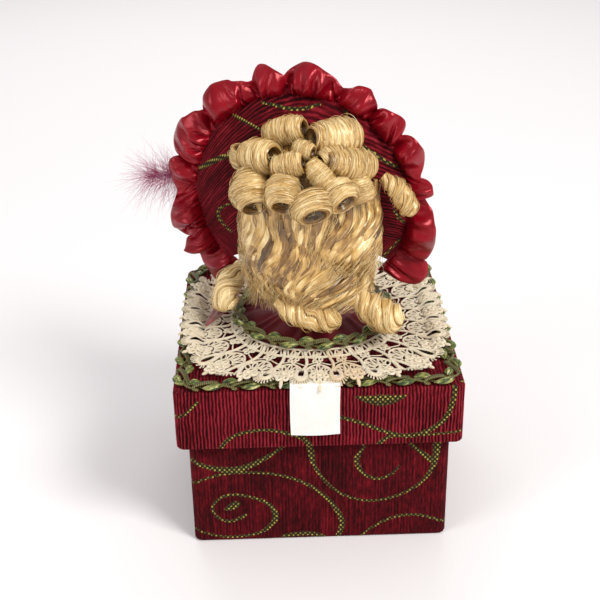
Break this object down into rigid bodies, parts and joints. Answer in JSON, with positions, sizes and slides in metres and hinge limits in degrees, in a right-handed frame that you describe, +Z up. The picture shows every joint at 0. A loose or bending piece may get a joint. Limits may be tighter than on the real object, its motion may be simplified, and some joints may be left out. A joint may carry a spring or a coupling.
{
  "type": "musical keepsake box",
  "caption": "Square fabric-covered keepsake music box whose lift-off lid carries a bonneted doll's head that sways, with a lace collar, braid trim and a wind-up movement under the lid.",
  "frame": {"origin": "centre of the flat underside of the box", "axes": "+Z up, the doll faces -Y, the label hangs at +Y"},
  "size_m": [0.1795, 0.1522, 0.2367],
  "materials": {
    "chenille": "ribbed chenille with woven scrolls",
    "satin_red": "glossy satin",
    "lining_satin": "soft satin",
    "board": "raw chipboard",
    "felt": "felt",
    "gimp": "twisted gimp cord",
    "lace": "crocheted cotton",
    "label_satin": "woven satin label",
    "organza": "sheer ribbon",
    "steel": "turned steel",
    "brass": "polished brass",
    "casting": "die-cast, satin",
    "wood": "turned wood",
    "porcelain": "bisque, painted",
    "hair": "wig fibre, glossy",
    "feather": "marabou down"
  },
  "bodies": {
    "base": {"bottom_sheet": "felt", "box_board": "board", "box_cover": "chenille", "box_lining": "lining_satin", "floor_pad": "lining_satin"},
    "lid": {"lid_board": "board", "lid_cover": "chenille", "lid_lining": "lining_satin", "spindle_bush": "brass", "mounting_screw_1": "steel", "mounting_screw_2": "steel", "mounting_screw_3": "steel", "lid_braid": "gimp", "shoulder_yoke": "chenille", "lace_collar": "lace", "neck_braid": "gimp", "satin_label": "label_satin", "ribbon_tails": "organza", "bedplate": "casting", "comb": "steel", "comb_screw_1": "brass", "comb_screw_2": "brass", "spring_housing": "brass", "bearing_left": "brass", "bearing_right": "brass", "governor_frame": "casting"},
    "spindle": {"winding_arbor": "steel", "drive_wheel": "brass", "winding_key": "brass", "crank_pin": "steel"},
    "cylinder": {"music_cylinder": "brass", "cylinder_wheel": "steel"},
    "governor": {"governor_worm": "steel", "air_brake": "brass"},
    "head": {"porcelain_head": "porcelain", "neck_plug": "wood", "wig_cap": "hair", "crown_curls": "hair", "long_hair": "hair", "side_curl_left": "hair", "side_curl_right": "hair", "nape_curl_left": "hair", "nape_curl_middle": "hair", "nape_curl_right": "hair", "loose_curl": "hair", "ribbon_bow": "satin_red", "bonnet_brim": "chenille", "brim_lining": "lining_satin", "bonnet_ruffle": "satin_red", "feather": "feather"}
  },
  "joints": [
    {"name": "lid_lift", "type": "slide", "parent": "base", "child": "lid", "axis": [0, 0, 1], "range_m": [0, 0.1]},
    {"name": "spindle_turn", "type": "hinge", "parent": "lid", "child": "spindle", "pos_m": [0, 0, 0.09], "axis": [0, 0, 1], "continuous": true},
    {"name": "head_sway", "type": "hinge", "parent": "spindle", "child": "head", "pos_m": [0, 0, 0.105], "axis": [0.0314, 0, 0.9995], "continuous": true},
    {"name": "cylinder_turn", "type": "hinge", "parent": "lid", "child": "cylinder", "pos_m": [0.0271, 0, 0.0775], "axis": [1, 0, 0], "continuous": true},
    {"name": "governor_spin", "type": "hinge", "parent": "lid", "child": "governor", "pos_m": [0.01535, 0.0103, 0.078], "axis": [0, 0, 1], "continuous": true}
  ],
  "couplings": [
    {"joint": "head_sway", "follows": "spindle_turn", "ratio": -1},
    {"joint": "cylinder_turn", "follows": "spindle_turn", "ratio": -2},
    {"joint": "governor_spin", "follows": "spindle_turn", "ratio": 40}
  ]
}
